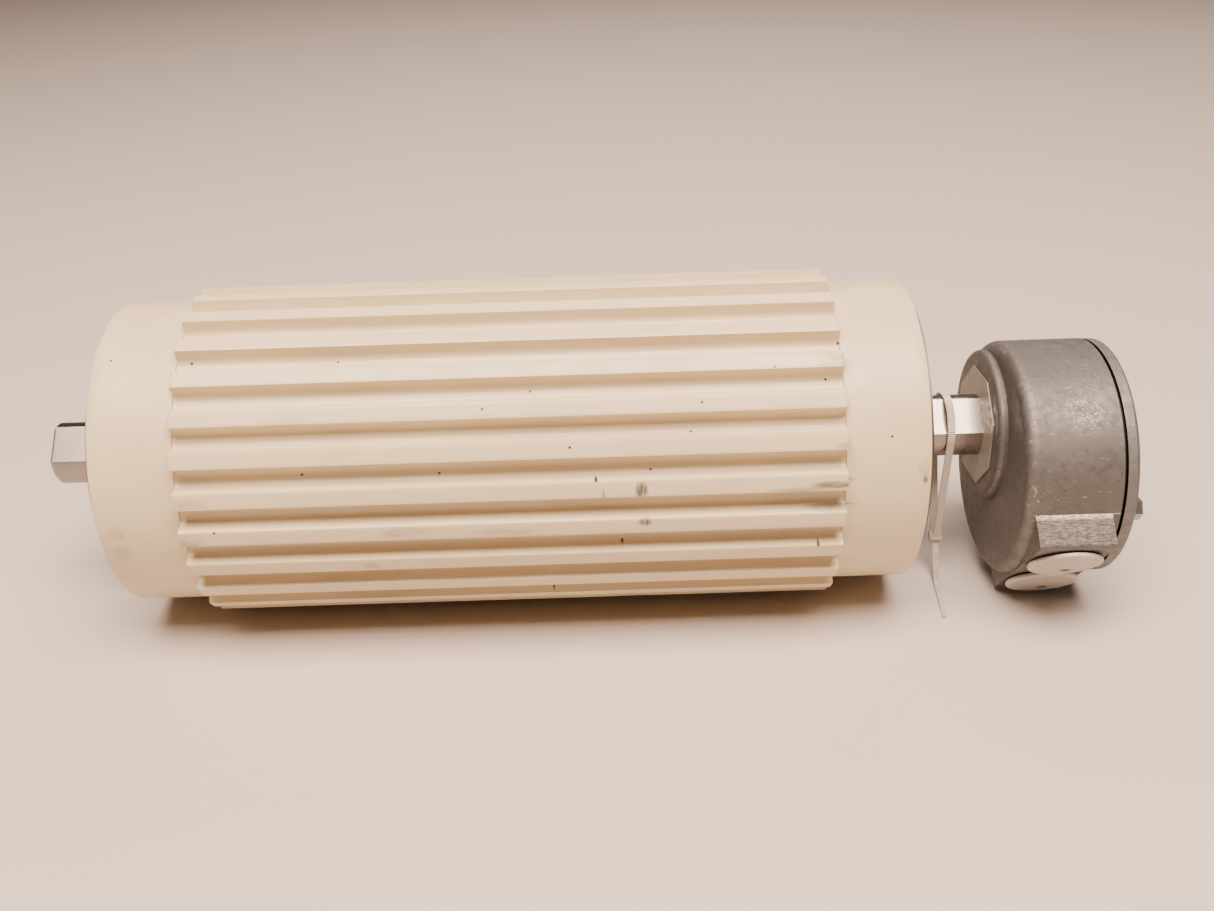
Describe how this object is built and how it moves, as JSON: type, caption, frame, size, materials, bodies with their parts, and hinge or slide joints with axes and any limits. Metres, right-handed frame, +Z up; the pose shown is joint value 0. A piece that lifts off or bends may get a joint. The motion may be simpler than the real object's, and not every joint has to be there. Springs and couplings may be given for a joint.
{
  "type": "conveyor drum motor",
  "caption": "Motorised conveyor pulley: ribbed ivory rubber-lagged drum with motor and gearbox inside, flatted fixed shaft ends and a round cast terminal box.",
  "frame": {"origin": "on the supporting surface, under the middle of the part's length and under the drum's axis", "axes": "+X along the drum's axis towards the terminal box, +Z up as it lies on two ribs of its lagging"},
  "size_m": [0.4252, 0.1329, 0.131],
  "materials": {
    "lagging_rubber": "matt ivory rubber",
    "tube_steel": "bare steel",
    "housing_metal": "machined",
    "shaft_steel": "ground, bright",
    "seal_rubber": "matt black",
    "bearing_steel": "polished",
    "gear_steel": "cut and hardened",
    "bush_bronze": "turned bronze",
    "cast_aluminium": "raw casting",
    "cover_aluminium": "raw casting",
    "lamination_steel": "stacked sheet",
    "winding_copper": "varnished copper",
    "rotor_aluminium": "die cast",
    "cable_jacket": "smooth jacket",
    "plug_plastic": "white moulding",
    "tie_nylon": "natural translucent nylon",
    "terminal_plastic": "moulded",
    "screw_steel": "zinc plated"
  },
  "bodies": {
    "stator": {"rear_shaft": "shaft_steel", "front_shaft": "shaft_steel", "rear_circlip": "bearing_steel", "front_circlip": "bearing_steel", "main_bearing_inner_rings": "bearing_steel", "rotor_bearing_outer_rings": "bearing_steel", "gearbox_housing": "cast_aluminium", "gearbox_cover": "cast_aluminium", "gearbox_bushes": "bush_bronze", "motor_casing": "tube_steel", "motor_end_shield": "cast_aluminium", "stator_core": "lamination_steel", "stator_windings": "winding_copper", "front_flange_screws": "screw_steel", "supply_cable": "cable_jacket", "terminal_box": "cast_aluminium", "shaft_lock_washer": "bearing_steel", "shaft_nut": "shaft_steel", "terminal_block": "terminal_plastic", "terminal_screws": "screw_steel", "earth_screw": "screw_steel", "cover_gasket": "seal_rubber", "terminal_box_cover": "cover_aluminium", "cover_screws": "screw_steel", "upper_entry_plug": "plug_plastic", "lower_entry_plug": "plug_plastic", "entry_plug_seals": "seal_rubber", "cable_tie": "tie_nylon"},
    "drum": {"drum_tube": "tube_steel", "drum_lagging": "lagging_rubber", "rear_end_housing": "housing_metal", "front_end_housing": "housing_metal", "rear_shaft_seal": "seal_rubber", "front_shaft_seal": "seal_rubber", "housing_o_rings": "seal_rubber", "main_bearing_outer_rings": "bearing_steel", "output_ring_gear": "gear_steel", "ring_gear_screws": "screw_steel", "oil_plug": "screw_steel"},
    "main_ball_sets": {"main_bearing_balls": "bearing_steel", "main_bearing_cages": "bush_bronze"},
    "output_shaft": {"output_pinion_shaft": "gear_steel", "second_stage_gear": "gear_steel"},
    "layshaft_set": {"layshaft": "gear_steel", "first_stage_gear": "gear_steel"},
    "rotor": {"rotor_shaft": "gear_steel", "rotor_core": "lamination_steel", "rotor_cage": "rotor_aluminium", "rotor_bearing_inner_rings": "bearing_steel"},
    "rotor_ball_sets": {"rotor_bearing_balls": "bearing_steel", "rotor_bearing_cages": "bush_bronze"}
  },
  "joints": [
    {"name": "drum_spin", "type": "hinge", "parent": "stator", "child": "drum", "pos_m": [-0.0239, 0, 0.06544], "axis": [1, 0, 0], "continuous": true},
    {"name": "main_balls_orbit", "type": "hinge", "parent": "stator", "child": "main_ball_sets", "pos_m": [-0.0239, 0, 0.06544], "axis": [1, 0, 0], "continuous": true},
    {"name": "output_shaft_spin", "type": "hinge", "parent": "stator", "child": "output_shaft", "pos_m": [-0.0239, 0, 0.09244], "axis": [1, 0, 0], "continuous": true},
    {"name": "layshaft_spin", "type": "hinge", "parent": "stator", "child": "layshaft_set", "pos_m": [-0.0239, 0.02174, 0.07561], "axis": [1, 0, 0], "continuous": true},
    {"name": "rotor_spin", "type": "hinge", "parent": "stator", "child": "rotor", "pos_m": [-0.0239, 0, 0.06544], "axis": [1, 0, 0], "continuous": true},
    {"name": "rotor_balls_orbit", "type": "hinge", "parent": "stator", "child": "rotor_ball_sets", "pos_m": [-0.0239, 0, 0.06544], "axis": [1, 0, 0], "continuous": true}
  ],
  "couplings": [
    {"joint": "main_balls_orbit", "follows": "drum_spin", "ratio": 0.60312},
    {"joint": "output_shaft_spin", "follows": "drum_spin", "ratio": 4},
    {"joint": "layshaft_spin", "follows": "drum_spin", "ratio": -10.667},
    {"joint": "rotor_spin", "follows": "drum_spin", "ratio": 32},
    {"joint": "rotor_balls_orbit", "follows": "drum_spin", "ratio": 12.192}
  ]
}
